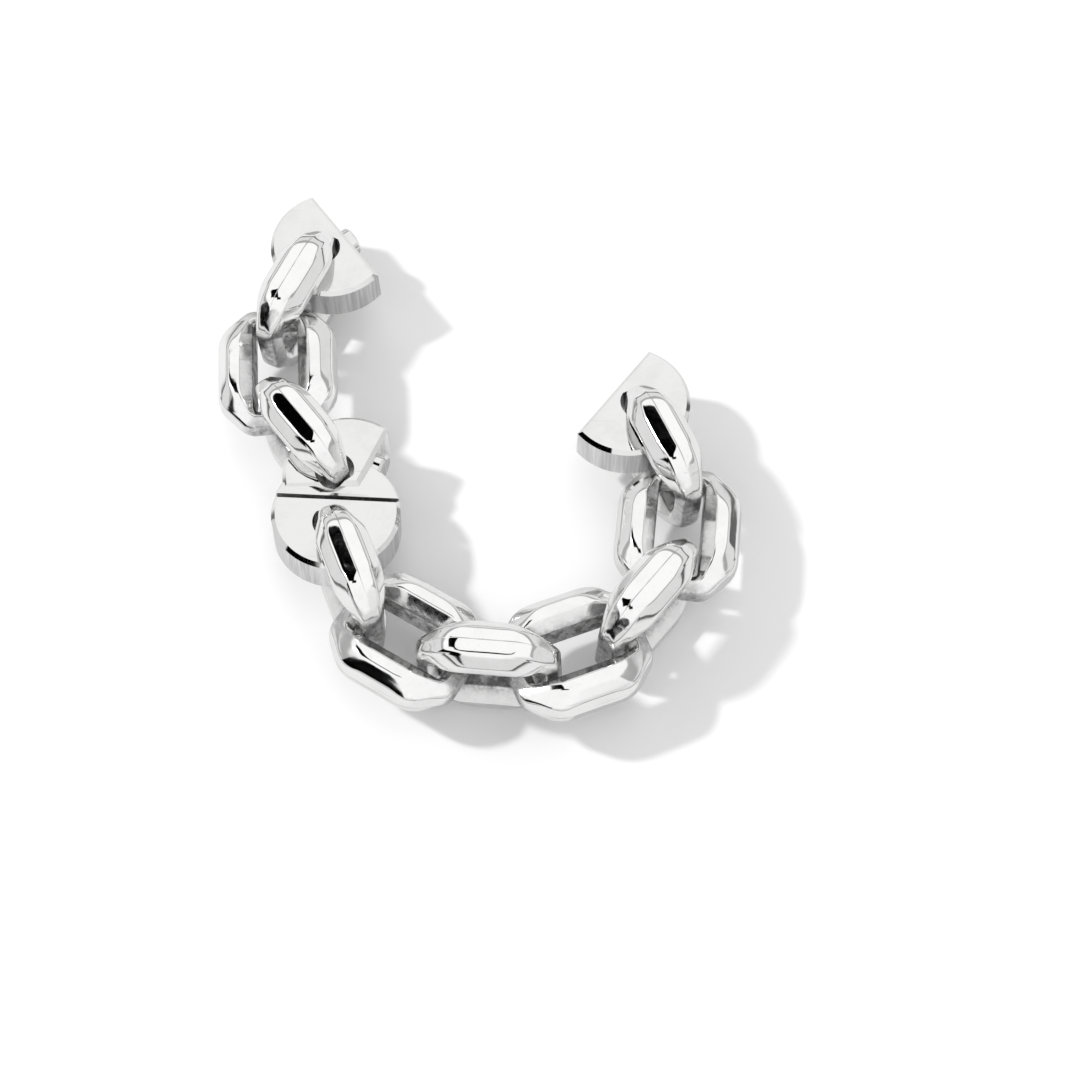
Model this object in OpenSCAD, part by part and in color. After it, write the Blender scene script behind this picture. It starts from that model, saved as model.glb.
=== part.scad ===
// Ear weight: a heavy silver chain in two lengths, lying on a surface.
// The links stand on edge and lie flat by turns, and each length ends in half-round plates.

/* [Link] */
// Length of a link
link_l = 11; // [10.9:0.05:11.1]
// Width of a link across its two legs
link_w = 9.7; // [9.6:0.05:9.8]
// Thickness in the middle of a link
link_t = 4; // [3.8:0.05:4]
// Thickness at the two ends of a link
link_end_t = 2.9; // [2.7:0.05:2.9]
// Length of the opening
opening_l = 7.6; // [7.6:0.05:7.8]
// Width of the opening
opening_w = 3.6; // [3.6:0.05:3.7]

/* [Plate] */
// Radius of the round side of a plate
plate_r = 5; // [4.8:0.1:5.1]
// Distance from the middle of the round side to the flat side
plate_flat = 1.35; // [1.2:0.05:1.5]
// Thickness of a plate
plate_t = 3.4; // [3:0.1:3.4]
// Diameter of the hole for a link's end bar
plate_hole_d = 3.1; // [3.1:0.05:3.3]
// Diameter of the boss on a flat side
boss_d = 2.4; // [1.8:0.1:2.6]
// Height of the boss
boss_h = 0.8; // [0.5:0.1:1]

/* [Hidden] */
$fn = 64;
silver = [0.82, 0.82, 0.84];

// Corners of the eight-sided outline: how much is cut off along and across the link
corner_l = 2.4;
corner_w = 2.2;
// Each outer side is a low ridge of two facets, and then a bevel down to the broad face
facet_rise = 0.25;
facet_w = 1.15;
bevel = 0.9;
// Seen from the side, a link grows thinner between these two distances from its middle
taper_from = 2.6;
taper_to = 4;
end_facet_w = 0.75;
end_rise = 0.12;
// Bevels and corner cuts of the opening
inner_bevel = 1;
inner_corner = 0.3;
// The end bar lies this far behind the middle of a plate's round side, and the hole's
// middle this far from the bar's, towards the middle of the link. The hole ends flat, this
// far outside the bar.
bar_back = 0.65;
hole_shift = 0.3;
hole_room = 0.13;
// The boss is sunk this far into its plate
boss_root = 0.2;
// The stepped plate has a low step that completes the round of the plate beside it.
// Its raised part is cut off straight, this far back and at this angle to the seam.
seam_gap = 0.15;
step_t = 2;
cut_back = 0.9;
cut_turn = 5;

end_bar = (link_l - opening_l) / 2;
corner_turn = atan2(corner_l, corner_w);
corner_reach = (link_l / 2 - corner_l) * cos(corner_turn) + link_w / 2 * sin(corner_turn);

// How each link lies after the one before it: turn to the left, step along the chain,
// tip of its leading end upwards, lean to the right, and height of its middle.
// A link on edge stands on the surface, so its height is worked out from its width.
TURN = 0;
STEP = 1;
TIP = 2;
LEAN = 3;
HEIGHT = 4;
on_edge = 0;
upper_start = [-14.6, 14, 244.5];
upper_links = [
    [0, 0, -1.5, 0.5, on_edge],
    [29, 7, -1.5, 5, 4.95],
    [34.5, 6.9, 0, 0.5, on_edge],
];
lower_start = [-9.3, -11.4, 291];
lower_links = [
    [0, 0, 3, -3, on_edge],
    [38.5, 6.8, -3, -4.5, 4.8],
    [25, 6.6, 1.5, 0.5, on_edge],
    [27, 6.55, -2, -3, 5.05],
    [30, 6.85, -1.5, 1.5, on_edge],
    [32.5, 6.75, 0, 2, 4.75],
    [30, 6.85, -0.5, 1.5, on_edge],
];

// How each plate sits on its link's end bar: the link's place in its length, turn of the
// flat side away from the link's direction, and slide along the flat side.
LINK = 0;
PLATE_TURN = 1;
SLIDE = 2;
ear_upper = [0, -28, -0.25];
middle_upper = [2, 28, 0.35];
middle_lower = [0, -23, -0.3];
ear_lower = [6, 29, 0.55];
// Places of the two bosses along the flat sides: the stepped plate's is in the middle of
// what the straight cut leaves
ear_boss_at = 0.1;
middle_boss_at = 2.1;

// Heading of link i, and the place of its middle: the chain steps along the mean of two headings
function heading(start, rows, i) =
    i == 0 ? start.z : heading(start, rows, i - 1) + rows[i][TURN];
function place(start, rows, i) =
    i == 0 ? [start.x, start.y]
    : let (way = heading(start, rows, i) - rows[i][TURN] / 2)
        place(start, rows, i - 1) + rows[i][STEP] * [cos(way), sin(way)];

// A link on edge stands on its lower crest, which ends where the corners are cut
function standing_height(row) =
    link_w / 2 * cos(row[LEAN]) * cos(row[TIP])
    + (link_l / 2 - corner_l) * abs(sin(row[TIP]));

// Puts a shape drawn about a link's own middle where link i lies
module at_link(start, rows, i) {
    row = rows[i];
    xy = place(start, rows, i);
    stands = row[HEIGHT] == on_edge;
    translate([xy.x, xy.y, stands ? standing_height(row) : row[HEIGHT]])
        rotate([0, 0, heading(start, rows, i)])
            rotate([0, -row[TIP], 0])
                rotate([row[LEAN] + (stands ? 90 : 0), 0, 0])
                    children();
}

// Moves to the end bar that a plate hangs on, or to a place nearer the middle of its link.
// A length's first link has its plate at its trailing end, and the last link at its leading end.
module at_bar(start, rows, seat, nearer) {
    way = seat[LINK] > 0 ? 1 : -1;
    at_link(start, rows, seat[LINK])
        translate([way * ((link_l - end_bar) / 2 - nearer), 0, 0])
            rotate([-90, 0, 0])
                children();
}

// Puts a shape drawn about the middle of a plate's round side where that plate hangs
module at_plate(start, rows, seat) {
    at_bar(start, rows, seat, 0)
        rotate([0, 0, seat[PLATE_TURN] + (seat[LINK] > 0 ? 0 : 180)])
            translate([bar_back, seat[SLIDE], 0])
                children();
}

// A bar with the drawn section, lying across the link and turned by an angle
module across(turn) {
    rotate([0, 0, turn])
        rotate([90, 0, 0])
            linear_extrude(2 * link_l, center = true)
                children();
}

// Section between two opposite outer sides: ridge, facets and bevels
module outer_section(reach) {
    low = reach - facet_rise;
    polygon([
        [reach, 0], [low, facet_w], [low - bevel, link_t / 2],
        [bevel - low, link_t / 2], [-low, facet_w], [-reach, 0],
        [-low, -facet_w], [bevel - low, -link_t / 2],
        [low - bevel, -link_t / 2], [low, -facet_w],
    ]);
}

// Side view of a link: thick in the middle, thinner towards both ends
module side_section() {
    reach = link_l / 2;
    low = reach - end_rise;
    mid = link_t / 2;
    thin = link_end_t / 2;
    polygon([
        [reach, 0], [low, end_facet_w], [taper_to, thin], [taper_from, mid],
        [-taper_from, mid], [-taper_to, thin], [-low, end_facet_w], [-reach, 0],
        [-low, -end_facet_w], [-taper_to, -thin], [-taper_from, -mid],
        [taper_from, -mid], [taper_to, -thin], [low, -end_facet_w],
    ]);
}

// Section of the opening between two opposite inner sides, flaring at both faces
module opening_section(reach, straight) {
    flare = reach + link_t;
    top = straight + link_t;
    polygon([
        [reach, -straight], [reach, straight], [flare, top],
        [-flare, top], [-reach, straight], [-reach, -straight],
        [-flare, -top], [flare, -top],
    ]);
}

module link_outside() {
    intersection() {
        across(0) side_section();
        across(90) outer_section(link_w / 2);
        across(corner_turn) outer_section(corner_reach);
        across(-corner_turn) outer_section(corner_reach);
    }
}

module link_opening() {
    side_straight = link_t / 2 - inner_bevel;
    end_straight = link_end_t / 2 - inner_bevel;
    inner_reach = (opening_l / 2 + opening_w / 2 - inner_corner) * sin(45);
    intersection() {
        across(0) opening_section(opening_l / 2, end_straight);
        across(90) opening_section(opening_w / 2, side_straight);
        across(45) opening_section(inner_reach, side_straight);
        across(-45) opening_section(inner_reach, side_straight);
    }
}

module link() {
    color(silver)
        difference() {
            link_outside();
            link_opening();
        }
}

module round_plate() {
    cylinder(r = plate_r, h = plate_t, center = true);
}

// Half-round plate, with the flat side towards +x
module half_round_plate() {
    intersection() {
        round_plate();
        translate([plate_flat - 2 * plate_r, -plate_r, -plate_t])
            cube([2 * plate_r, 2 * plate_r, 2 * plate_t]);
    }
}

module bar_hole(start, rows, seat) {
    way = seat[LINK] > 0 ? 1 : -1;
    at_bar(start, rows, seat, hole_shift)
        intersection() {
            cylinder(d = plate_hole_d, h = 2 * plate_t, center = true);
            translate([way * (end_bar / 2 + hole_shift + hole_room - plate_r), 0, 0])
                cube(2 * plate_r, center = true);
        }
}

module boss(along) {
    translate([plate_flat - boss_root, along, 0])
        rotate([0, 90, 0])
            cylinder(d = boss_d, h = boss_h + boss_root);
}

module drilled_plate(start, rows, seat) {
    difference() {
        at_plate(start, rows, seat) half_round_plate();
        bar_hole(start, rows, seat);
    }
}

module ear_plate_upper() {
    color(silver)
        union() {
            drilled_plate(upper_start, upper_links, ear_upper);
            at_plate(upper_start, upper_links, ear_upper) boss(ear_boss_at);
        }
}

module middle_plate_lower() {
    color(silver) drilled_plate(lower_start, lower_links, middle_lower);
}

module ear_plate_lower() {
    color(silver) drilled_plate(lower_start, lower_links, ear_lower);
}

// The low step: the rest of the round of the plate beside it, level with that plate's face
module seam_step() {
    at_plate(lower_start, lower_links, middle_lower)
        intersection() {
            round_plate();
            translate([plate_flat + seam_gap, -plate_r, plate_t / 2 - step_t])
                cube([plate_r, 2 * plate_r, step_t]);
        }
}

// Everything on the other plate's side of the straight cut
module beyond_cut() {
    at_plate(lower_start, lower_links, middle_lower)
        translate([plate_flat + cut_back, 0, 0])
            rotate([0, 0, cut_turn])
                translate([-4 * plate_r, -2 * plate_r, -2 * plate_t])
                    cube([4 * plate_r, 4 * plate_r, 4 * plate_t]);
}

module middle_plate_upper() {
    color(silver)
        difference() {
            union() {
                difference() {
                    at_plate(upper_start, upper_links, middle_upper) half_round_plate();
                    beyond_cut();
                }
                at_plate(upper_start, upper_links, middle_upper) boss(middle_boss_at);
                seam_step();
            }
            bar_hole(upper_start, upper_links, middle_upper);
        }
}

module link_upper(i) {
    at_link(upper_start, upper_links, i - 1) link();
}

module link_lower(i) {
    at_link(lower_start, lower_links, i - 1) link();
}

ear_plate_upper();
link_upper(1);  // link_upper_1
link_upper(2);  // link_upper_2
link_upper(3);  // link_upper_3
middle_plate_upper();
middle_plate_lower();
link_lower(1);  // link_lower_1
link_lower(2);  // link_lower_2
link_lower(3);  // link_lower_3
link_lower(4);  // link_lower_4
link_lower(5);  // link_lower_5
link_lower(6);  // link_lower_6
link_lower(7);  // link_lower_7
ear_plate_lower();
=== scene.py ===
"""Ear weight: a heavy polished silver chain in two lengths, lying on a pale surface."""

import math

import bmesh
import bpy
import numpy as np
from bpy.props import FloatProperty, FloatVectorProperty, PointerProperty
from mathutils import Matrix, Vector


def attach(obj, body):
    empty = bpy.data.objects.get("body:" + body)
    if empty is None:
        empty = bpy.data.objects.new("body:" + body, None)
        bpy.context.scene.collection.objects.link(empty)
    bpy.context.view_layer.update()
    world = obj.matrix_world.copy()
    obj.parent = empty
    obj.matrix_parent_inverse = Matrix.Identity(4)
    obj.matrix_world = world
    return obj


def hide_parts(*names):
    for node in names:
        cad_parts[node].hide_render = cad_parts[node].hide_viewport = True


bl_info = {
    "name": "Silver ear weight",
    "version": (1, 0, 0),
    "blender": (4, 5, 0),
    "location": "View3D > Sidebar > Ear weight",
    "description": "Finishes the chain links and half-round plates of a silver ear weight",
    "category": "Object",
}

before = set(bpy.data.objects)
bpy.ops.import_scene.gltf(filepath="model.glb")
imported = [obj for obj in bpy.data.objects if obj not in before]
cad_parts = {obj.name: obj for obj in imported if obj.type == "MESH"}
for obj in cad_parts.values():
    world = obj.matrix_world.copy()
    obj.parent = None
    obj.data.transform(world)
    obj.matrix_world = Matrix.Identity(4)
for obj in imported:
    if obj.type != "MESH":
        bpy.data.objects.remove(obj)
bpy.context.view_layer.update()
MM = 0.001

# Sizes of a link, in millimetres
LINK_L = 11
LINK_W = 9.7
LINK_T = 4
LINK_END_T = 2.9
OPENING_L = 7.6
OPENING_W = 3.6
CORNER_L = 2.4
CORNER_W = 2.2
FACET_RISE = 0.25
FACET_W = 1.15
BEVEL = 0.9
INNER_BEVEL = 1
TAPER_FROM = 2.6
TAPER_TO = 4
END_FACET_W = 0.75
END_RISE = 0.12
OPENING_ROUND = 0.5
ON_EDGE = 0

# Sizes of a plate and of its hole, in millimetres and degrees
PLATE_R = 5
PLATE_FLAT = 1.35
PLATE_T = 3.4
PLATE_HOLE_D = 3.1
BOSS_D = 2.4
BOSS_H = 0.8
BOSS_ROOT = 0.2
BAR_BACK = 0.65
HOLE_SHIFT = 0.3
HOLE_ROOM = 0.13
SEAM_GAP = 0.15
STEP_T = 2
CUT_BACK = 0.9
CUT_TURN = 5

# Steps round each corner of a link's outline, round half of its metal and round a plate, and
# how much closer the points of a link lie where its surface bends
ARC_STEPS = 16
RING_STEPS = 64
ROUND_STEPS = 160
BEND_WEIGHT = 0.9

# The net of points on a link: rounding of the outline that it stands on, how far from the
# middle of the metal the surface is looked for and how many times that is halved, how many
# directions are tried before the points are spread, and how soft the change to the opening is
NET_ROUND = 3
NET_REACH = 3.5
NET_HALVINGS = 26
NET_TURNS = 361
NET_SEAM = 0.2
# Places along a long side, and where the opening's corner starts and ends along the bend
SIDE_SHARES = (0, 0.2, 0.4, 0.6, 0.8, 0.93)
END_SHARES = (0.5, 0)
ARC_FROM = 0.35
ARC_TO = 0.75
INNER_STRAIGHT = 0.45
INNER_END = 0.5

# How near to flat two faces of a plate meet and still look smooth, in degrees, how upright a
# face is that counts as the rim, how near to a cut a point counts as on it, and how near two
# points lie, in millimetres, to be made one
SHARP_FROM = 20
RIM_SLOPE = 0.3
ON_CUT = 1e-5
WELD = 0.001

# Where the two lengths start (place and heading of the first link), and how each link lies
# after the one before it, in millimetres and degrees
LENGTHS = {
    "upper": {
        "start": (-14.6, 14, 244.5),
        # turn, step, tip, lean, height
        "links": [
            (0, 0, -1.5, 0.5, ON_EDGE),
            (29, 7, -1.5, 5, 4.95),
            (34.5, 6.9, 0, 0.5, ON_EDGE),
        ],
    },
    "lower": {
        "start": (-9.3, -11.4, 291),
        "links": [
            (0, 0, 3, -3, ON_EDGE),
            (38.5, 6.8, -3, -4.5, 4.8),
            (25, 6.6, 1.5, 0.5, ON_EDGE),
            (27, 6.55, -2, -3, 5.05),
            (30, 6.85, -1.5, 1.5, ON_EDGE),
            (32.5, 6.75, 0, 2, 4.75),
            (30, 6.85, -0.5, 1.5, ON_EDGE),
        ],
    },
}
# How each plate sits on its link: length, number of the link, turn, slide, place of its boss
PLATES = {
    "ear_plate_upper": ("upper", 1, -28, -0.25, 0.1),
    "middle_plate_upper": ("upper", 3, 28, 0.35, 2.1),
    "middle_plate_lower": ("lower", 1, -23, -0.3, None),
    "ear_plate_lower": ("lower", 7, 29, 0.55, None),
}

# Scales of the noises in the silver, per metre: hand polish, haze, scratches, cast metal,
# filed rims, worn crests and satin bevels
SLOW_WAVES, WAVES, FINE_WAVES = 260, 900, 5200
HAZE_CLOUDS, HAZE_SPECKS = 420, 3400
SCRATCH_PATCHES = 190
CAST_GRAIN, CAST_LUMPS = 4200, 1300
RIM_LINES, RIM_BANDS = 4200, 900
CREST_WEAR = 700
SATIN_CLOUDS = 1500
# Each way that scratches run: its turn in radians, its scale, and how much noise it takes
SCRATCH_WAYS = ((0.4, 700, 0.665), (1.35, 900, 0.68), (2.3, 800, 0.68))
SCRATCH_STRETCH = (0.06, 3.2, 1.0)
# The dark line on a crest, in millimetres: half its width, and where along the link it ends
CREST_LINE = (0.02, 0.055)
CREST_ENDS = (3.2, 4.0)
# Depths of the grain inside the openings and of the filed lines on the rims, in millimetres
CAST_DEPTH = 0.05
RIM_DEPTH = 0.02
# Where a link is left as cast beside its opening (heights in millimetres, and how much), and
# its satin bevels in the same way; how far round the bend its ends count for either
CAST_TIPS = ((0, END_FACET_W, 1.2), (0.9, 0.6, 0.25))
CAST_END = (0.86, 1)
SATIN_BEVEL = ((1, 1.2, 1.9, 1.97), (0, 0.3, 0.3, 0.1))
SATIN_END = (0.2, 0.75)
# Roughness of cast metal, of the crest's line and of the rims, and what haze and scratches add
CAST_ROUGH, CREST_ROUGH, RIM_ROUGH = 0.42, 0.4, 0.3
HAZE_ROUGH, SCRATCH_ROUGH = 0.08, 0.12
# How bright hazed silver is beside the clean metal, and the hollows beside the cast metal
HAZED = 0.88
HOLLOW = 0.35
# Greys of scratched and of satin silver, of a rim's dark and light lines, and the painted
# reflection of the floor far off
SCRATCH_GREY = (0.6, 0.6, 0.6, 1)
SATIN_GREY = (0.8, 0.8, 0.8, 1)
RIM_DARK = (0.58, 0.58, 0.58, 1)
RIM_LIGHT = (0.84, 0.84, 0.84, 1)
MIRRORED_FAR_GREY = (0.08, 0.08, 0.08, 1)

# The stage: half the floor's width in metres, where the key lamp stands, and the lens in
# millimetres with its nearest distance in metres
FLOOR_HALF = 1.5
KEY_FROM = (-0.7, 0.14, 0.75)
LENS = 73.3
SENSOR = 36
LENS_NEAR = 0.005


def link_pose(length, number):
    """Place in metres, and tip, lean and heading in radians, of one link."""
    x, y, heading = LENGTHS[length]["start"]
    rows = LENGTHS[length]["links"][:number]
    for turn, step, *_ in rows[1:]:
        way = math.radians(heading + turn / 2)
        heading += turn
        x += step * math.cos(way)
        y += step * math.sin(way)
    tip, lean, height = rows[-1][2:]
    if height == ON_EDGE:
        height = LINK_W / 2 * math.cos(math.radians(lean)) * math.cos(math.radians(tip))
        height += (LINK_L / 2 - CORNER_L) * abs(math.sin(math.radians(tip)))
        lean += 90
    place = Vector((x, y, height)) * MM
    return place, math.radians(tip), math.radians(lean), math.radians(heading)


def turned(axis, degrees):
    return Matrix.Rotation(math.radians(degrees), 4, axis)


def moved(x, y, z):
    return Matrix.Translation((x * MM, y * MM, z * MM))


def bar_frame(node, nearer=0):
    """Frame of the end bar that a plate hangs on, and which way along the link is outwards."""
    length, number = PLATES[node][:2]
    place, tip, lean, heading = link_pose(length, number)
    way = 1 if number > 1 else -1
    end_bar = (LINK_L - OPENING_L) / 2
    link = (
        Matrix.Translation(place) @ Matrix.Rotation(heading, 4, "Z")
        @ Matrix.Rotation(-tip, 4, "Y") @ Matrix.Rotation(lean, 4, "X")
    )
    return link @ moved(way * ((LINK_L - end_bar) / 2 - nearer), 0, 0) @ turned("X", -90), way


def plate_frame(node):
    """Frame of a plate: its flat side faces along X and its thickness is along Z."""
    bar, way = bar_frame(node)
    turn, slide = PLATES[node][2:4]
    return bar @ turned("Z", turn + (0 if way > 0 else 180)) @ moved(BAR_BACK, slide, 0)


def baked(piece, name):
    """The piece with its modifiers turned into a plain mesh."""
    bpy.context.view_layer.update()
    seen = piece.evaluated_get(bpy.context.evaluated_depsgraph_get())
    mesh = bpy.data.meshes.new_from_object(seen)
    mesh.name = name
    piece.modifiers.clear()
    old = piece.data
    piece.data = mesh
    bpy.data.meshes.remove(old)
    return piece


def new_piece(name, work):
    """An object in the scene from the mesh that was worked on."""
    mesh = bpy.data.meshes.new(name)
    work.to_mesh(mesh)
    work.free()
    piece = bpy.data.objects.new(name, mesh)
    bpy.context.scene.collection.objects.link(piece)
    return piece


def blend(a, b, share):
    return a + (b - a) * share


def smooth(value, low, high):
    share = np.clip((value - low) / (high - low), 0, 1)
    return share * share * (3 - 2 * share)


def quarter_outline():
    """Stations of a quarter of the outline, from the middle of a long side to the middle of
    an end: (outer point, outward direction, point of the opening)."""
    corner = math.atan2(CORNER_L, CORNER_W)
    side_mid = LINK_L / 2 - CORNER_L
    end_mid = LINK_W / 2 - CORNER_W

    def fillet(vertex, turn_from, turn_to):
        half = (turn_from - turn_to) / 2
        middle = (turn_from + turn_to) / 2
        towards = Vector((math.cos(middle), math.sin(middle)))
        centre = vertex - towards * NET_ROUND / math.cos(half)
        for i in range(ARC_STEPS + 1):
            turn = blend(turn_from, turn_to, i / ARC_STEPS)
            way = Vector((math.cos(turn), math.sin(turn)))
            yield centre + way * NET_ROUND, way

    upper = list(fillet(Vector((side_mid, LINK_W / 2)), math.pi / 2, corner))
    lower = list(fillet(Vector((LINK_L / 2, end_mid)), corner, 0))
    bend = upper + [((upper[-1][0] + lower[0][0]) / 2, upper[-1][1])] + lower
    straight = upper[0][0].x
    last = lower[-1][0].y
    inner_from = INNER_STRAIGHT * LINK_L / 2
    inner_to = INNER_END * OPENING_W / 2
    arc_centre = Vector((OPENING_L / 2, OPENING_W / 2)) - Vector((1, 1)) * OPENING_ROUND

    def opening_at(share):
        if share < ARC_FROM:
            along = blend(inner_from, arc_centre.x, share / ARC_FROM)
            return Vector((along, OPENING_W / 2))
        if share < ARC_TO:
            turn = blend(math.pi / 2, 0, (share - ARC_FROM) / (ARC_TO - ARC_FROM))
            return arc_centre + Vector((math.cos(turn), math.sin(turn))) * OPENING_ROUND
        across = blend(arc_centre.y, inner_to, (share - ARC_TO) / (1 - ARC_TO))
        return Vector((OPENING_L / 2, across))

    stations = []
    for share in SIDE_SHARES:
        outer = Vector((straight * share, LINK_W / 2))
        stations.append((outer, Vector((0, 1)), Vector((inner_from * share, OPENING_W / 2))))
    for i, (outer, way) in enumerate(bend):
        stations.append((outer, way, opening_at(i / (len(bend) - 1))))
    for share in END_SHARES:
        outer = Vector((LINK_L / 2, last * share))
        stations.append((outer, Vector((1, 0)), Vector((OPENING_L / 2, inner_to * share))))
    return stations


def whole_outline():
    """The quarter's stations mirrored to go all the way round."""
    quarter = quarter_outline()
    half = quarter + [tuple(Vector((v.x, -v.y)) for v in station) for station in quarter[-2::-1]]
    return half + [tuple(Vector((-v.x, v.y)) for v in station) for station in half[-2:0:-1]]


def soft_max(a, b, width):
    """The larger of two distances, eased over a width, so the edge between them is rounded."""
    near = np.maximum(width - np.abs(a - b), 0) / width
    return np.maximum(a, b) + near * near * width / 4


def beyond(u, z, first, second):
    """Distance outside the line through two points of a section, given outwards and up."""
    across = Vector((second[1] - first[1], first[0] - second[0])).normalized()
    return across.x * (u - first[0]) + across.y * (z - first[1])


def metal(x, y, z, settings):
    """Distance outside a link's metal: (outside its outer faces, inside its opening)."""
    x, y = np.abs(x), np.abs(y)
    z = np.sqrt(z * z + (settings.crest_round / MM) ** 2)
    edge, inner_edge = settings.edge_round / MM, settings.inner_round / MM
    top, end_top = LINK_T / 2, LINK_END_T / 2

    def side(u, reach):
        low = reach - FACET_RISE
        facet = beyond(u, z, (reach, 0), (low, FACET_W))
        return soft_max(facet, beyond(u, z, (low, FACET_W), (low - BEVEL, top)), edge)

    turn = math.atan2(CORNER_L, CORNER_W)
    reach = (LINK_L / 2 - CORNER_L) * math.cos(turn) + LINK_W / 2 * math.sin(turn)
    corner = side(x * math.cos(turn) + y * math.sin(turn), reach)
    low = LINK_L / 2 - END_RISE
    end = beyond(x, z, (LINK_L / 2, 0), (low, END_FACET_W))
    end = soft_max(end, beyond(x, z, (low, END_FACET_W), (TAPER_TO, end_top)), edge)
    # least rounding in the middle of a facet, so that its ends look round
    off_middle = (2 * np.minimum(z / FACET_W, 1) - 1) ** 2
    rounding = blend(settings.corner_tight, settings.corner_round, off_middle) / MM
    outline = soft_max(soft_max(side(y, LINK_W / 2), corner, rounding), end, rounding)
    taper = beyond(x, z, (TAPER_TO, end_top), (TAPER_FROM, top))
    outer = soft_max(outline, soft_max(z - top, taper, settings.taper_round / MM), edge)

    def wall(u, reach, straight):
        flare = (reach - straight + z - u) / math.sqrt(2)
        return soft_max(reach - u, flare, inner_edge)

    beside = wall(y, OPENING_W / 2, top - INNER_BEVEL)
    ahead = wall(x, OPENING_L / 2, end_top - INNER_BEVEL)
    return outer, -soft_max(-beside, -ahead, OPENING_ROUND)


def link_net(settings):
    """Net of points on a link's rounded surface, about its own middle: (points, how far each is
    outside the outer faces, how far inside the opening, outward direction at each station)."""
    outline = whole_outline()
    outer, way, inner = (np.array([v[:] for v in places]) for places in zip(*outline))
    middle = ((outer + inner) / 2)[:, None, :]
    towards = outer - inner
    towards = (towards / np.linalg.norm(towards, axis=1)[:, None])[:, None, :]
    inner_edge = settings.inner_round / MM

    def surface(turns):
        """Points of the surface seen from the middle of the metal: turn 0 is the crest, a
        quarter is straight up and a half is the opening."""
        near, far = np.zeros(turns.shape), np.full(turns.shape, NET_REACH)
        for _ in range(NET_HALVINGS):
            reach = (near + far) / 2
            flat = middle + (reach * np.cos(turns))[..., None] * towards
            outside, opening = metal(flat[..., 0], flat[..., 1], reach * np.sin(turns), settings)
            inside = soft_max(outside, opening, inner_edge) < 0
            near, far = np.where(inside, reach, near), np.where(inside, far, reach)
        points = np.concatenate((flat, (reach * np.sin(turns))[..., None]), axis=2)
        return points, outside, opening

    # points lie closer together where the surface bends
    turns = np.linspace(0, math.pi, NET_TURNS)
    steps = np.diff(surface(np.tile(turns, (len(outline), 1)))[0], axis=1)
    length = np.linalg.norm(steps, axis=2)
    cosine = (steps[:, 1:] * steps[:, :-1]).sum(2) / (length[:, 1:] * length[:, :-1])
    bend = np.arccos(np.clip(cosine, -1, 1))
    gone = np.cumsum(length + BEND_WEIGHT * np.pad(bend, ((0, 0), (1, 0))), axis=1)
    gone = np.pad(gone, ((0, 0), (1, 0)))
    turns = np.array([np.interp(np.linspace(0, g[-1], RING_STEPS + 1), g, turns) for g in gone])
    points, outside, opening = surface(turns)
    return points, outside, opening, way


def finish_marks(points, outside, opening, way):
    """Where each point of a link is as cast, on the outer side, and satin, from 0 to 1. Inside
    the opening the as-cast mark also carries painted shade, strongest deep in.
    """
    end = np.abs(way[:, :1])
    z = np.abs(points[..., 2])
    within = np.clip((opening - outside) / NET_SEAM + 0.5, 0, 1)
    straight = blend(LINK_T, LINK_END_T, smooth(end, 0, 1)) / 2 - INNER_BEVEL
    up_flare = np.clip((z - straight) / INNER_BEVEL, 0, 1)
    # painted shade: inside the opening the mark is strongest at the middle of the wall and fades
    # up the flare, so the metal is painted darkest deep in
    cast = within * np.where(z < straight, 1 - 0.2 * z / straight, 0.8 * (1 - up_flare) ** 3)
    tip = np.interp(z, *CAST_TIPS) * smooth(end, *CAST_END)
    cast = np.maximum(cast, (1 - within) * tip)
    satin = np.maximum(np.interp(z, *SATIN_BEVEL), within)
    satin = np.maximum(satin, smooth(end, *SATIN_END))
    return np.stack((cast, 1 - within, satin), axis=2)


def make_pattern_link(settings):
    """A link about its own middle: the net of points, closed with its mirror image below."""
    points, outside, opening, way = link_net(settings)
    marks = finish_marks(points, outside, opening, way)
    work = bmesh.new()
    layers = [work.verts.layers.float.new(name) for name in ("as_cast_and_shade", "outer_side", "satin")]
    rings = []
    for row, row_marks in zip(points, marks):
        upper = list(zip(row.tolist(), row_marks.tolist()))
        lower = [((x, y, -z), mark) for (x, y, z), mark in upper[-2:0:-1]]
        ring = []
        for place, mark in upper + lower:
            vert = work.verts.new(Vector(place) * MM)
            for layer, value in zip(layers, mark):
                vert[layer] = value
            ring.append(vert)
        rings.append(ring)
    for i, ring in enumerate(rings):
        following = rings[(i + 1) % len(rings)]
        for k in range(len(ring)):
            j = (k + 1) % len(ring)
            work.faces.new((ring[k], ring[j], following[j], following[k]))
    bmesh.ops.recalc_face_normals(work, faces=work.faces)
    piece = new_piece("pattern link", work)
    for face in piece.data.polygons:
        face.use_smooth = True
    return piece


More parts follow.
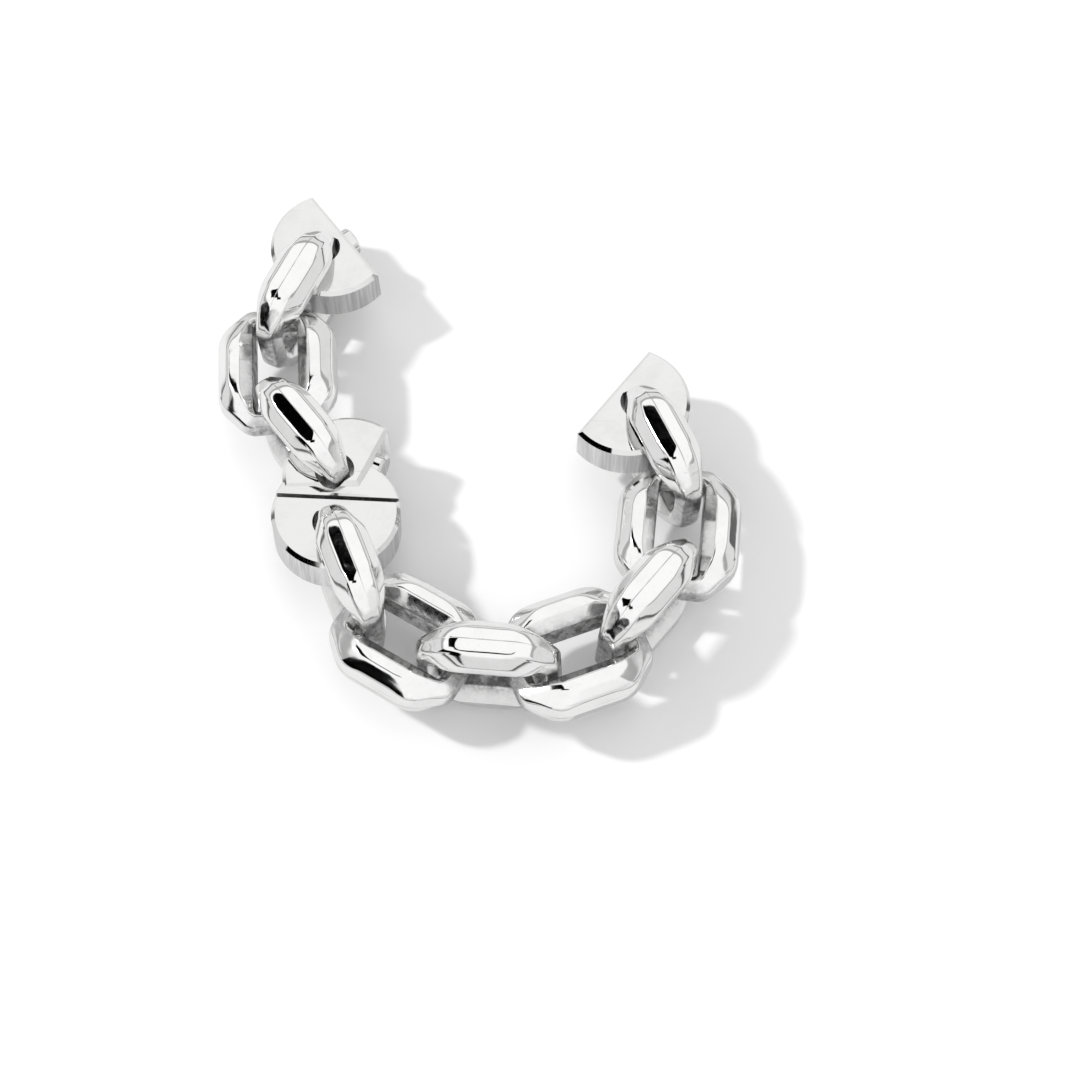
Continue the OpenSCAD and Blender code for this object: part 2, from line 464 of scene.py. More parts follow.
def place_link_tree():
    """Puts the pattern link where a link lies, and keeps its own place for the finish."""
    tree = bpy.data.node_groups.new("link where it lies", "GeometryNodeTree")
    socket = tree.interface.new_socket
    socket("Link", in_out="INPUT", socket_type="NodeSocketGeometry")
    socket("Place", in_out="INPUT", socket_type="NodeSocketVector")
    for angle in ("Lean", "Tip", "Heading"):
        socket(angle, in_out="INPUT", socket_type="NodeSocketFloat")
    socket("Silver", in_out="INPUT", socket_type="NodeSocketMaterial")
    socket("Link", in_out="OUTPUT", socket_type="NodeSocketGeometry")
    add, join = tree.nodes.new, tree.links.new
    given = add("NodeGroupInput")
    position = add("GeometryNodeInputPosition")
    keep = add("GeometryNodeStoreNamedAttribute")
    keep.data_type = "FLOAT_VECTOR"
    keep.domain = "POINT"
    keep.inputs["Name"].default_value = "own_place"
    join(given.outputs["Link"], keep.inputs["Geometry"])
    join(position.outputs["Position"], keep.inputs["Value"])
    point = add("GeometryNodePoints")
    point.inputs["Count"].default_value = 1
    join(given.outputs["Place"], point.inputs["Position"])
    back = add("ShaderNodeMath")
    back.operation = "MULTIPLY"
    back.inputs[1].default_value = -1
    join(given.outputs["Tip"], back.inputs[0])
    turn = add("ShaderNodeCombineXYZ")
    join(given.outputs["Lean"], turn.inputs["X"])
    join(back.outputs["Value"], turn.inputs["Y"])
    join(given.outputs["Heading"], turn.inputs["Z"])
    lay = add("GeometryNodeInstanceOnPoints")
    join(point.outputs["Points"], lay.inputs["Points"])
    join(keep.outputs["Geometry"], lay.inputs["Instance"])
    join(turn.outputs["Vector"], lay.inputs["Rotation"])
    real = add("GeometryNodeRealizeInstances")
    join(lay.outputs["Instances"], real.inputs["Geometry"])
    finish = add("GeometryNodeSetMaterial")
    join(real.outputs["Geometry"], finish.inputs["Geometry"])
    join(given.outputs["Silver"], finish.inputs["Material"])
    out = add("NodeGroupOutput")
    join(finish.outputs["Geometry"], out.inputs["Link"])
    return tree


def lay_link(pattern, tree, length, number, silver):
    name = f"silver_link_{length}_{number}"
    piece = bpy.data.objects.new(name, pattern.data.copy())
    bpy.context.scene.collection.objects.link(piece)
    place, tip, lean, heading = link_pose(length, number)
    values = {"Place": place, "Lean": lean, "Tip": tip, "Heading": heading, "Silver": silver}
    laying = piece.modifiers.new("where it lies", "NODES")
    laying.node_group = tree
    for item in tree.interface.items_tree:
        if item.in_out == "INPUT" and item.name in values:
            laying[item.identifier] = values[item.name]
    baked(piece, name)
    return hand_over(piece, f"link_{length}_{number}")


def hand_over(piece, node):
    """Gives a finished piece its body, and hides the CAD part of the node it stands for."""
    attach(piece, "root")
    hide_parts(node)
    return piece


def slab(name, radius, low, high, cuts, place, chamfer=0):
    """A round slab in its own frame, in millimetres, cut off straight by planes (point,
    outward direction), with a chamfer round both faces, and put in its place."""
    work = bmesh.new()
    levels = [(low, radius), (high, radius)]
    if chamfer:
        levels = [
            (low, radius - chamfer), (low + chamfer, radius),
            (high - chamfer, radius), (high, radius - chamfer),
        ]
    turns = [2 * math.pi * i / ROUND_STEPS for i in range(ROUND_STEPS)]
    rings = [
        [work.verts.new((r * math.cos(turn), r * math.sin(turn), z)) for turn in turns]
        for z, r in levels
    ]
    work.faces.new(rings[0])
    work.faces.new(rings[-1])
    for under, over in zip(rings, rings[1:]):
        for i in range(ROUND_STEPS):
            j = (i + 1) % ROUND_STEPS
            work.faces.new((under[i], under[j], over[j], over[i]))
    planes = []
    for point, outward in cuts:
        point, outward = Vector(point), Vector(outward)
        planes.append((point, outward))
        flat = Vector((outward.x, outward.y, 0))
        for level, side in ((high, 1), (low, -1)) if chamfer else ():
            rise = level - point.z
            edge = point + Vector((0, 0, rise)) - flat * (outward.z * rise / flat.length_squared)
            slope = flat.normalized() + Vector((0, 0, side))
            planes.append((edge - flat.normalized() * chamfer, slope))
    for point, outward in planes:
        geometry = work.verts[:] + work.edges[:] + work.faces[:]
        cut = bmesh.ops.bisect_plane(
            work, geom=geometry, dist=ON_CUT, plane_co=point, plane_no=outward, clear_outer=True,
        )
        edges = [item for item in cut["geom_cut"] if isinstance(item, bmesh.types.BMEdge)]
        bmesh.ops.edgeloop_fill(work, edges=edges)
    bmesh.ops.recalc_face_normals(work, faces=work.faces)
    work.transform(place @ Matrix.Scale(MM, 4))
    return new_piece(name, work)


def combine(piece, other, operation):
    """Joins a solid to the piece, or cuts it out, and removes it."""
    step = piece.modifiers.new(operation.lower(), "BOOLEAN")
    step.operation = operation
    step.solver = "MANIFOLD"
    step.object = other
    baked(piece, piece.name)
    bpy.data.objects.remove(other)


def weld(mesh):
    """Takes out what a join leaves: doubled points, faces with no area, points amid an edge."""
    work = bmesh.new()
    work.from_mesh(mesh)
    bmesh.ops.remove_doubles(work, verts=work.verts, dist=WELD * MM)
    bmesh.ops.dissolve_degenerate(work, edges=work.edges, dist=WELD * MM)
    amid = [vert for vert in work.verts if len(vert.link_edges) == 2]
    bmesh.ops.dissolve_verts(work, verts=amid)
    work.to_mesh(mesh)
    work.free()


def boss(node, settings):
    """The round boss on a plate's flat side, with its root inside the plate."""
    root = moved(PLATE_FLAT - BOSS_ROOT, PLATES[node][4], 0)
    place = plate_frame(node) @ root @ turned("Y", 90)
    return slab("boss", BOSS_D / 2, 0, BOSS_H + BOSS_ROOT, (), place, settings.boss_bevel / MM)


def bar_hole(node):
    """What is cut out for the end bar: round, and flat just outside the bar."""
    bar, way = bar_frame(node, HOLE_SHIFT)
    flat = way * ((LINK_L - OPENING_L) / 4 + HOLE_SHIFT + HOLE_ROOM)
    cuts = (((flat, 0, 0), (way, 0, 0)),)
    return slab("hole", PLATE_HOLE_D / 2, -PLATE_T, PLATE_T, cuts, bar)


def make_plate(node, settings, silver):
    """A half-round plate, drilled for its link's end bar."""
    own = plate_frame(node)
    half = PLATE_T / 2
    chamfer = settings.plate_bevel / MM
    cuts = [((PLATE_FLAT, 0, 0), (1, 0, 0))]
    beside = plate_frame("middle_plate_lower")
    if node == "middle_plate_upper":
        # the straight cut is given in the frame of the plate beside it
        cut = own.inverted() @ beside @ moved(PLATE_FLAT + CUT_BACK, 0, 0) @ turned("Z", CUT_TURN)
        cuts.append((cut.translation / MM, -cut.col[0].to_3d()))
    piece = slab(f"silver_{node}", PLATE_R, -half, half, cuts, own, chamfer)
    if node == "middle_plate_upper":
        seam = ((PLATE_FLAT + SEAM_GAP, 0, 0), (-1, 0, 0))
        step = slab("step", PLATE_R, half - STEP_T, half, (seam,), beside, chamfer / 2)
        combine(piece, step, "UNION")
    combine(piece, bar_hole(node), "DIFFERENCE")
    if PLATES[node][4] is not None:
        combine(piece, boss(node, settings), "UNION")
    mesh = piece.data
    weld(mesh)
    for face in mesh.polygons:
        face.use_smooth = True
    mesh.set_sharp_from_angle(angle=math.radians(SHARP_FROM))
    up = own.col[2].to_3d()
    rim = mesh.attributes.new("rim", "FLOAT", "FACE")
    for face in mesh.polygons:
        rim.data[face.index].value = 1.0 if abs(face.normal.dot(up)) < RIM_SLOPE else 0.0
    mesh.materials.clear()
    mesh.materials.append(silver)
    return hand_over(piece, node)


def shader_group(name, inputs, outputs):
    group = bpy.data.node_groups.new(name, "ShaderNodeTree")
    for label, kind, default in inputs:
        made = group.interface.new_socket(label, in_out="INPUT", socket_type=kind)
        if default is not None:
            made.default_value = default
    for label, kind in outputs:
        group.interface.new_socket(label, in_out="OUTPUT", socket_type=kind)
    return group, group.nodes.new("NodeGroupInput"), group.nodes.new("NodeGroupOutput")


def maths(group, operation, first, second=None, clamp=False):
    node = group.nodes.new("ShaderNodeMath")
    node.operation = operation
    node.use_clamp = clamp
    for socket, value in zip(node.inputs, (first, second)):
        if value is None:
            continue
        if isinstance(value, (int, float)):
            socket.default_value = value
        else:
            group.links.new(value, socket)
    return node.outputs["Value"]


def spread(group, value, low, high, out_low=0.0, out_high=1.0):
    """Spreads the part of a value between low and high over a new range."""
    node = group.nodes.new("ShaderNodeMapRange")
    node.interpolation_type = "SMOOTHSTEP"
    group.links.new(value, node.inputs["Value"])
    labels = ("From Min", "From Max", "To Min", "To Max")
    for label, number in zip(labels, (low, high, out_low, out_high)):
        node.inputs[label].default_value = number
    return node.outputs["Result"]


def noise(group, place, scale, detail=2.0, roughness=0.5, distortion=0.0):
    node = group.nodes.new("ShaderNodeTexNoise")
    node.inputs["Scale"].default_value = scale
    node.inputs["Detail"].default_value = detail
    node.inputs["Roughness"].default_value = roughness
    node.inputs["Distortion"].default_value = distortion
    group.links.new(place, node.inputs["Vector"])
    return node.outputs["Fac"]


def hand_polish_group():
    """Slow unevenness, haze and pits of silver that was filed and buffed by hand."""
    group, given, out = shader_group(
        "hand polish",
        [("Place", "NodeSocketVector", None), ("Haze", "NodeSocketFloat", 0.5)],
        [("Height", "NodeSocketFloat"), ("Haze", "NodeSocketFloat")],
    )
    place = given.outputs["Place"]
    slow = noise(group, place, SLOW_WAVES, 1.0)
    middle = maths(group, "MULTIPLY", noise(group, place, WAVES, 1.5), 0.16)
    fine = maths(group, "MULTIPLY", noise(group, place, FINE_WAVES, 2.0), 0.006)
    height = maths(group, "ADD", maths(group, "ADD", slow, middle), fine)
    clouds = spread(group, noise(group, place, HAZE_CLOUDS, 3.0, 0.6), 0.42, 0.72)
    specks = spread(group, noise(group, place, HAZE_SPECKS, 1.0), 0.6, 0.75)
    specks = maths(group, "MULTIPLY", specks, 0.3)
    haze = maths(group, "ADD", maths(group, "MULTIPLY", clouds, 0.7), specks)
    group.links.new(height, out.inputs["Height"])
    group.links.new(maths(group, "MULTIPLY", haze, given.outputs["Haze"]), out.inputs["Haze"])
    return group


def scratches_group():
    """Fine handling scratches that run several ways."""
    group, given, out = shader_group(
        "fine scratches",
        [("Place", "NodeSocketVector", None), ("Amount", "NodeSocketFloat", 0.5)],
        [("Mark", "NodeSocketFloat")],
    )
    total = None
    for turn, scale, seen in SCRATCH_WAYS:
        across = group.nodes.new("ShaderNodeMapping")
        across.inputs["Rotation"].default_value = (0.5 * turn, 0.7 * turn, turn)
        across.inputs["Scale"].default_value = SCRATCH_STRETCH
        group.links.new(given.outputs["Place"], across.inputs["Vector"])
        streaks = noise(group, across.outputs["Vector"], scale, 2.0, 0.6, 0.1)
        lines = spread(group, streaks, seen, seen + 0.05)
        total = lines if total is None else maths(group, "MAXIMUM", total, lines)
    patches = spread(group, noise(group, given.outputs["Place"], SCRATCH_PATCHES, 1.0), 0.4, 0.62)
    mark = maths(group, "MULTIPLY", total, patches)
    mark = maths(group, "MULTIPLY", mark, given.outputs["Amount"])
    group.links.new(mark, out.inputs["Mark"])
    return group


def as_cast_group():
    """Grain and dark hollows of a surface left as it came out of the mould."""
    group, given, out = shader_group(
        "as cast",
        [("Place", "NodeSocketVector", None)],
        [("Height", "NodeSocketFloat"), ("Dark", "NodeSocketFloat")],
    )
    place = given.outputs["Place"]
    grain = maths(group, "MULTIPLY", noise(group, place, CAST_GRAIN, 3.0, 0.6), 0.4)
    lumps = noise(group, place, CAST_LUMPS, 2.0, 0.55)
    height = maths(group, "ADD", grain, lumps)
    dark = maths(group, "ADD", maths(group, "MULTIPLY", lumps, 0.6), grain)
    dark = spread(group, dark, 0.38, 0.62)
    group.links.new(height, out.inputs["Height"])
    group.links.new(dark, out.inputs["Dark"])
    return group


def placed_group(material, group, **values):
    node = material.node_tree.nodes.new("ShaderNodeGroup")
    node.node_tree = group
    for label, value in values.items():
        if isinstance(value, (int, float)):
            node.inputs[label].default_value = value
        else:
            material.node_tree.links.new(value, node.inputs[label])
    return node.outputs


def attribute(tree, name, output):
    node = tree.nodes.new("ShaderNodeAttribute")
    node.attribute_type = "GEOMETRY"
    node.attribute_name = name
    return node.outputs[output]


def mixed(tree, factor, first, second, kind="FLOAT"):
    node = tree.nodes.new("ShaderNodeMix")
    node.data_type = kind
    suffix = {"FLOAT": "Float", "RGBA": "Color"}[kind]
    by_name = {s.identifier: s for s in node.inputs}
    given = (("Factor_Float", factor), (f"A_{suffix}", first), (f"B_{suffix}", second))
    for key, value in given:
        if isinstance(value, (int, float, tuple)):
            by_name[key].default_value = value
        else:
            tree.links.new(value, by_name[key])
    return [s for s in node.outputs if s.identifier == f"Result_{suffix}"][0]


def crest_line(tree, place, outside):
    """Thin dark line that is left along the crest between a link's two long facets."""
    parts = tree.nodes.new("ShaderNodeSeparateXYZ")
    tree.links.new(place, parts.inputs["Vector"])
    across = maths(tree, "ABSOLUTE", parts.outputs["Z"])
    along = maths(tree, "ABSOLUTE", parts.outputs["X"])
    line = spread(tree, across, CREST_LINE[0] * MM, CREST_LINE[1] * MM, 1, 0)
    reach = spread(tree, along, CREST_ENDS[0] * MM, CREST_ENDS[1] * MM, 1, 0)
    worn = spread(tree, noise(tree, place, CREST_WEAR, 2.0), 0.3, 0.6, 0.35, 1.0)
    line = maths(tree, "MULTIPLY", maths(tree, "MULTIPLY", line, reach), worn)
    return maths(tree, "MULTIPLY", line, spread(tree, outside, 0.9, 1.0))


def brush_lines(tree, place):
    """Fine upright lines of a rim that was filed across."""
    upright = tree.nodes.new("ShaderNodeMapping")
    upright.inputs["Scale"].default_value = (1, 1, 0.03)
    tree.links.new(place, upright.inputs["Vector"])
    lines = noise(tree, upright.outputs["Vector"], RIM_LINES, 2.0, 0.6)
    bands = noise(tree, upright.outputs["Vector"], RIM_BANDS, 1.0)
    bands = maths(tree, "MULTIPLY", bands, 0.4)
    return maths(tree, "ADD", maths(tree, "MULTIPLY", lines, 0.6), bands)


def silver_material(name, settings, groups, place_from):
    """Polished silver. place_from is an attribute's name, or None for object coordinates."""
    material = bpy.data.materials.new(name)
    material.use_nodes = True
    tree = material.node_tree
    shader = tree.nodes["Principled BSDF"]
    place = (
        attribute(tree, place_from, "Vector")
        if place_from
        else tree.nodes.new("ShaderNodeTexCoord").outputs["Object"]
    )
    polish = placed_group(material, groups["polish"], Place=place, Haze=settings.haze)
    marks = placed_group(material, groups["scratches"], Place=place, Amount=settings.scratches)
    haze, mark = polish["Haze"], marks["Mark"]
    silver = settings.silver_colour if place_from else settings.plate_colour
    hazed = (*[HAZED * c for c in silver], 1)
    colour = mixed(tree, haze, (*silver, 1), hazed, "RGBA")
    colour = mixed(tree, maths(tree, "MULTIPLY", mark, 0.5), colour, SCRATCH_GREY, "RGBA")
    rough = maths(tree, "MULTIPLY", haze, HAZE_ROUGH)
    rough = maths(tree, "ADD", rough, settings.polish_roughness)
    rough = maths(tree, "ADD", rough, maths(tree, "MULTIPLY", mark, SCRATCH_ROUGH))
    height = maths(tree, "SUBTRACT", polish["Height"], maths(tree, "MULTIPLY", mark, 0.05))
    gentle = tree.nodes.new("ShaderNodeBump")
    gentle.inputs["Strength"].default_value = 1.0
    gentle.inputs["Distance"].default_value = settings.unevenness
    tree.links.new(height, gentle.inputs["Height"])
    grainy = tree.nodes.new("ShaderNodeBump")
    grainy.inputs["Strength"].default_value = 0.9
    tree.links.new(gentle.outputs["Normal"], grainy.inputs["Normal"])
    if place_from:
        cloud = spread(tree, noise(tree, place, SATIN_CLOUDS, 3.0, 0.65), 0.35, 0.7, 0.25, 1.0)
        satin = maths(tree, "MULTIPLY", attribute(tree, "satin", "Fac"), cloud)
        colour = mixed(tree, maths(tree, "MULTIPLY", satin, 0.5), colour, SATIN_GREY, "RGBA")
        satin = maths(tree, "MULTIPLY", satin, settings.satin_roughness)
        rough = maths(tree, "ADD", rough, satin)
        # as-cast grain, with painted shade: the openings' metal is painted a dark grey that
        # stands in for the shade inside them
        cast = placed_group(material, groups["cast"], Place=place)
        cover = spread(tree, cast["Dark"], 0.0, 1.0, 0.75, 1.0)
        inside = maths(tree, "MULTIPLY", attribute(tree, "as_cast_and_shade", "Fac"), cover, clamp=True)
        dull = (*settings.cast_and_shade_colour, 1)
        dark = (*[HOLLOW * c for c in settings.cast_and_shade_colour], 1)
        rough_colour = mixed(tree, cast["Dark"], dull, dark, "RGBA")
        colour = mixed(tree, inside, colour, rough_colour, "RGBA")
        line = crest_line(tree, place, attribute(tree, "outer_side", "Fac"))
        colour = mixed(tree, maths(tree, "MULTIPLY", line, 0.65), colour, dark, "RGBA")
        rough = mixed(tree, inside, rough, CAST_ROUGH)
        rough = mixed(tree, line, rough, CREST_ROUGH)
        grainy.inputs["Distance"].default_value = CAST_DEPTH * MM
        tree.links.new(maths(tree, "MULTIPLY", cast["Height"], inside), grainy.inputs["Height"])
    else:
        rim = attribute(tree, "rim", "Fac")
        lines = brush_lines(tree, place)
        # the rims are painted a darker grey than the plate's faces, laid in filed lines
        filed = mixed(tree, spread(tree, lines, 0.35, 0.65), RIM_DARK, RIM_LIGHT, "RGBA")
        colour = mixed(tree, rim, colour, filed, "RGBA")
        rough = mixed(tree, rim, rough, RIM_ROUGH)
        grainy.inputs["Distance"].default_value = RIM_DEPTH * MM
        tree.links.new(maths(tree, "MULTIPLY", lines, rim), grainy.inputs["Height"])
    tree.links.new(colour, shader.inputs["Base Color"])
    shader.inputs["Metallic"].default_value = 1.0
    tree.links.new(rough, shader.inputs["Roughness"])
    tree.links.new(grainy.outputs["Normal"], shader.inputs["Normal"])
    return material


def material_for(kind):
    settings = bpy.context.scene.silver_finish
    names = {"link": "polished silver, links", "plate": "polished silver, plates"}
    made = bpy.data.materials.get(names[kind])
    if made:
        return made
    groups = {
        "polish": bpy.data.node_groups.get("hand polish") or hand_polish_group(),
        "scratches": bpy.data.node_groups.get("fine scratches") or scratches_group(),
        "cast": bpy.data.node_groups.get("as cast") or as_cast_group(),
    }
    return silver_material(names[kind], settings, groups, "own_place" if kind == "link" else None)


def floor_material(settings):
    """Pale matt floor with a painted reflection: where the silver mirrors it, it is painted
    dimmer, and dark grey further off.
    """
    material = bpy.data.materials.new("pale floor")
    material.use_nodes = True
    tree = material.node_tree
    shader = tree.nodes["Principled BSDF"]
    shader.inputs["Roughness"].default_value = 0.8
    shader.inputs["Specular IOR Level"].default_value = 0.1
    place = tree.nodes.new("ShaderNodeTexCoord").outputs["Object"]
    length = tree.nodes.new("ShaderNodeVectorMath")
    length.operation = "LENGTH"
    tree.links.new(place, length.inputs[0])
    far = spread(tree, length.outputs["Value"], settings.mirror_dark_from, settings.mirror_dark_to)
    # painted reflection: for glossy rays only, the floor is dimmed near and turns dark grey far
    # off
    path = tree.nodes.new("ShaderNodeLightPath")
    mirrored = maths(tree, "MULTIPLY", path.outputs["Is Glossy Ray"], far)
    pale = (*settings.floor_colour, 1)
    dim = (*[0.8 * c for c in settings.floor_colour], 1)
    near = mixed(tree, path.outputs["Is Glossy Ray"], pale, dim, "RGBA")
    colour = mixed(tree, mirrored, near, MIRRORED_FAR_GREY, "RGBA")
    tree.links.new(colour, shader.inputs["Base Color"])
    return material


# Dark gaps between the soft boxes. Each is the part of the sky inside some planes, given as
# (x, y, z, limit): x, y and z times a direction stay under the limit
DARK_GAPS = {
    # high on the left: the left facets of three links stand full of it
    "left overhead": (
        (0.403, 0.915, 0, 0.27), (1, 0, 0, -0.19), (-1, 0, 0, 0.56),
        (0, -1, 0, 0.1), (0, 0, -1, -0.73),
    ),
    # towards the viewer, left of the middle
    "viewer": (
        (1, 0, 0, -0.03), (-1, 0, 0, 0.3), (0, 1, 0, -0.07), (0, -1, 0, 0.25), (0, 0, -1, 0),
    ),
    # low in front on the left
    "front left": (
        (-0.242, 0.97, 0, 0), (0.927, -0.375, 0, 0), (0, 0, 1, 0.55), (0, 0, -1, -0.17),
    ),
}
# Dim ring below the soft boxes, open towards the viewer
DIM_RING = ((0, 0, 1, 0.56), (0, 0, -1, -0.4), (0, -1, 0, 0.35))
# How soft the edges of the gaps and of the ring are, and where the soft boxes end
GAP_SOFT = 0.02
RING_SOFT = 0.03
BOX_EDGE = (0.3, 0.6)


def studio_sky(settings):
    """Large soft boxes overhead with dark gaps between them, and a dim studio round them."""
    world = bpy.data.worlds.new("soft studio")
    bpy.context.scene.world = world
    world.use_nodes = True
    tree = world.node_tree
    tree.nodes.clear()
    out = tree.nodes.new("ShaderNodeOutputWorld")
    glow = tree.nodes.new("ShaderNodeBackground")
    tree.links.new(glow.outputs["Background"], out.inputs["Surface"])
    direction = tree.nodes.new("ShaderNodeTexCoord").outputs["Generated"]
    parts = tree.nodes.new("ShaderNodeSeparateXYZ")
    tree.links.new(direction, parts.inputs["Vector"])

    def inside(planes, soft):
        """1 in the part of the sky inside all the planes, 0 outside."""
        total = None
        for x, y, z, limit in planes:
            dot = tree.nodes.new("ShaderNodeVectorMath")
            dot.operation = "DOT_PRODUCT"
            dot.inputs[1].default_value = (x, y, z)
            tree.links.new(direction, dot.inputs[0])
            side = spread(tree, dot.outputs["Value"], limit - soft, limit + soft, 1, 0)
            total = side if total is None else maths(tree, "MULTIPLY", total, side)
        return total

    level = spread(tree, parts.outputs["Z"], *BOX_EDGE, settings.studio_light, settings.box_light)
    ring = maths(tree, "MULTIPLY", inside(DIM_RING, RING_SOFT), settings.ring_depth)
    level = maths(tree, "MULTIPLY", level, maths(tree, "SUBTRACT", 1, ring))
    for planes in DARK_GAPS.values():
        gap = inside(planes, GAP_SOFT)
        level = maths(tree, "MULTIPLY", level, maths(tree, "SUBTRACT", 1, gap))
    path = tree.nodes.new("ShaderNodeLightPath")
    fill = maths(tree, "MULTIPLY", path.outputs["Is Diffuse Ray"], settings.fill_light)
    level = maths(tree, "MULTIPLY", level, maths(tree, "ADD", 1, fill))
    tree.links.new(level, glow.inputs["Strength"])
    glow.inputs["Color"].default_value = (1.0, 1.0, 1.0, 1)


def key_lamp(settings):
    lamp = bpy.data.lights.new("key lamp", "AREA")
    lamp.shape = "DISK"
    lamp.size = settings.key_size
    lamp.energy = settings.key_light
    holder = bpy.data.objects.new("key lamp", lamp)
    bpy.context.scene.collection.objects.link(holder)
    towards = Vector(KEY_FROM).normalized()
    holder.location = towards * settings.key_distance
    holder.rotation_euler = towards.to_track_quat("Z", "Y").to_euler()


def photo_camera(settings):
    lens = bpy.data.cameras.new("photo camera")
    lens.lens = LENS
    lens.sensor_width = SENSOR
    lens.clip_start = LENS_NEAR
    camera = bpy.data.objects.new("photo camera", lens)
    bpy.context.scene.collection.objects.link(camera)
    up = settings.camera_elevation
    towards = Vector((0, -math.cos(up), math.sin(up)))
    camera.location = Vector(settings.camera_target) + towards * settings.camera_distance
    camera.rotation_euler = towards.to_track_quat("Z", "Y").to_euler()
    bpy.context.scene.camera = camera


class SilverFinish(bpy.types.PropertyGroup):
    silver_colour: FloatVectorProperty(
        name="Silver", subtype="COLOR", size=3, default=(0.92, 0.92, 0.915),
        description="Colour of the polished metal",
    )
    # painted shade as well as as-cast metal: this dark grey inside the openings stands in for
    # their shade
    cast_and_shade_colour: FloatVectorProperty(
        name="As cast", subtype="COLOR", size=3, default=(0.5, 0.5, 0.5),
        description="Colour of the metal inside a link's opening",
    )
    plate_colour: FloatVectorProperty(
        name="Plates", subtype="COLOR", size=3, default=(0.82, 0.82, 0.815),
        description="Colour of the plates' polished faces",
    )
    satin_roughness: FloatProperty(
        name="Satin", default=0.11, min=0.0, max=0.5,
        description="Extra roughness of the bevels and of the links' ends",
    )
    polish_roughness: FloatProperty(
        name="Polish", default=0.045, min=0.0, max=0.5,
        description="Roughness of the polished metal",
    )
    haze: FloatProperty(
        name="Haze", default=0.6, min=0, max=1,
        description="How much the handled metal is hazed",
    )
    scratches: FloatProperty(
        name="Scratches", default=0.6, min=0, max=1,
        description="How much the fine scratches show",
    )
    unevenness: FloatProperty(
        name="Unevenness", default=0.00006, unit="LENGTH", precision=6,
        description="Depth of the slow waves left by filing and buffing",
    )
    edge_round: FloatProperty(
        name="Edges", default=0.00014, unit="LENGTH", precision=6,
        description="Width of the soft change at a link's outer edges",
    )
    crest_round: FloatProperty(
        name="Crest", default=0.00003, unit="LENGTH", precision=6,
        description="Rounding of the low crest between a link's two long facets",
    )
    corner_round: FloatProperty(
        name="Corners", default=0.00085, unit="LENGTH", precision=6,
        description="Width of the soft change at the corners of a link's outline",
    )
    corner_tight: FloatProperty(
        name="Facet ends", default=0.00055, unit="LENGTH", precision=6,
        description="The same in the middle of a long facet, where it is least",
    )
    inner_round: FloatProperty(
        name="Inner edges", default=0.00011, unit="LENGTH", precision=6,
        description="Width of the soft change at the edges round the opening",
    )
    taper_round: FloatProperty(
        name="Taper", default=0.0003, unit="LENGTH", precision=6,
        description="Width of the soft change where a link starts to thin towards its ends",
    )
    plate_bevel: FloatProperty(
        name="Plate bevel", default=0.0003, unit="LENGTH", precision=6,
        description="Width of the bevel round a plate's faces",
    )
    boss_bevel: FloatProperty(
        name="Boss bevel", default=0.0002, unit="LENGTH", precision=6,
        description="Width of the bevel round a boss",
    )


class StageLook(bpy.types.PropertyGroup):
    floor_colour: FloatVectorProperty(
        name="Floor", subtype="COLOR", size=3, default=(0.9, 0.9, 0.9),
        description="Colour of the pale floor",
    )
    # painted reflection: these set where the floor, as the silver mirrors it, turns dark grey
    mirror_dark_from: FloatProperty(
        name="Mirrored dark from", default=0.05, unit="LENGTH",
        description="Where the mirrored floor starts to darken",
    )
    mirror_dark_to: FloatProperty(
        name="Mirrored dark to", default=0.12, unit="LENGTH",
        description="Where the mirrored floor is dark",
    )
    box_light: FloatProperty(
        name="Soft boxes", default=1.04, min=0,
        description="Strength of the soft boxes overhead",
    )
    studio_light: FloatProperty(
        name="Studio", default=0.78, min=0,
        description="Strength of the light low round the object",
    )
    ring_depth: FloatProperty(
        name="Dim ring", default=0.55, min=0, max=1,
        description="How dim the ring below the soft boxes is",
    )
    fill_light: FloatProperty(
        name="Fill", default=0.08, min=0,
        description="Extra soft light on the floor, as a share",
    )
    key_light: FloatProperty(
        name="Key lamp", subtype="POWER", default=1.9,
        description="Power of the lamp that casts the shadows",
    )
    key_size: FloatProperty(
        name="Key size", default=0.05, unit="LENGTH",
        description="Width of the key lamp",
    )
    key_distance: FloatProperty(
        name="Key distance", default=0.6, unit="LENGTH",
        description="Distance of the key lamp",
    )
    camera_elevation: FloatProperty(
        name="Camera elevation", subtype="ANGLE", default=math.radians(63.4),
        description="How far the camera looks down",
    )
    camera_distance: FloatProperty(
        name="Camera distance", default=0.176, unit="LENGTH",
        description="Distance from what the camera looks at",
    )
    camera_target: FloatVectorProperty(
        name="Camera target", subtype="TRANSLATION", size=3, default=(0.0052, -0.0056, 0.0),
        description="Place on the floor that the camera looks at",
    )


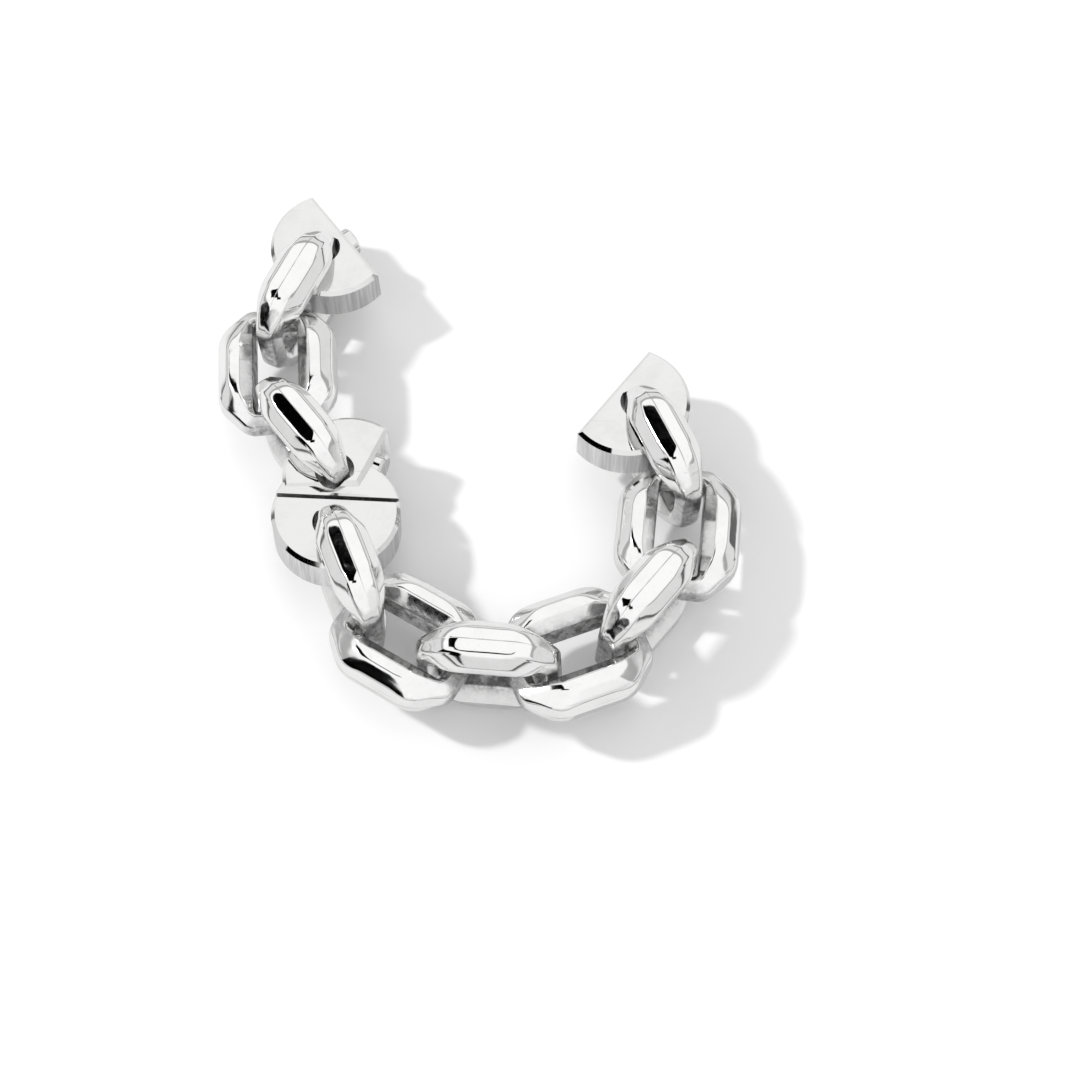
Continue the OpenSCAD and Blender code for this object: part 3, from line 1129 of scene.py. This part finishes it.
class MakeLinks(bpy.types.Operator):
    """Make the ten polished links and lay each where it lies in the chain"""

    bl_idname = "ear_weight.make_links"
    bl_label = "Chain links"

    def execute(self, context):
        silver = material_for("link")
        pattern = make_pattern_link(context.scene.silver_finish)
        tree = place_link_tree()
        for length, layout in LENGTHS.items():
            for number in range(1, len(layout["links"]) + 1):
                lay_link(pattern, tree, length, number, silver)
        bpy.data.objects.remove(pattern)
        return {"FINISHED"}


class MakePlates(bpy.types.Operator):
    """Make the four polished plates at the ends of the two lengths"""

    bl_idname = "ear_weight.make_plates"
    bl_label = "Half-round plates"

    def execute(self, context):
        silver = material_for("plate")
        for node in PLATES:
            make_plate(node, context.scene.silver_finish, silver)
        return {"FINISHED"}


class SetStage(bpy.types.Operator):
    """Set the pale floor, the soft studio light and the camera"""

    bl_idname = "ear_weight.set_stage"
    bl_label = "Floor, light and camera"

    def execute(self, context):
        look = context.scene.stage_look
        mesh = bpy.data.meshes.new("floor")
        half = FLOOR_HALF
        corners = [(-half, -half, 0), (half, -half, 0), (half, half, 0), (-half, half, 0)]
        mesh.from_pydata(corners, [], [(0, 1, 2, 3)])
        floor = bpy.data.objects.new("floor", mesh)
        context.scene.collection.objects.link(floor)
        mesh.materials.append(floor_material(look))
        studio_sky(look)
        key_lamp(look)
        photo_camera(look)
        context.scene.view_settings.view_transform = "Standard"
        return {"FINISHED"}


class EarWeightPanel(bpy.types.Panel):
    bl_idname = "VIEW3D_PT_ear_weight"
    bl_label = "Ear weight"
    bl_space_type = "VIEW_3D"
    bl_region_type = "UI"
    bl_category = "Ear weight"

    def draw(self, context):
        for step in (MakeLinks, MakePlates, SetStage):
            self.layout.operator(step.bl_idname)
        for group in (context.scene.silver_finish, context.scene.stage_look):
            for name in group.__annotations__:
                self.layout.prop(group, name)


CLASSES = (SilverFinish, StageLook, MakeLinks, MakePlates, SetStage, EarWeightPanel)


def register():
    for cls in CLASSES:
        bpy.utils.register_class(cls)
    bpy.types.Scene.silver_finish = PointerProperty(type=SilverFinish)
    bpy.types.Scene.stage_look = PointerProperty(type=StageLook)


def unregister():
    del bpy.types.Scene.stage_look
    del bpy.types.Scene.silver_finish
    for cls in reversed(CLASSES):
        bpy.utils.unregister_class(cls)


def main():
    register()
    bpy.ops.ear_weight.make_links()
    bpy.ops.ear_weight.make_plates()
    bpy.ops.ear_weight.set_stage()


if __name__ == "__main__":
    main()
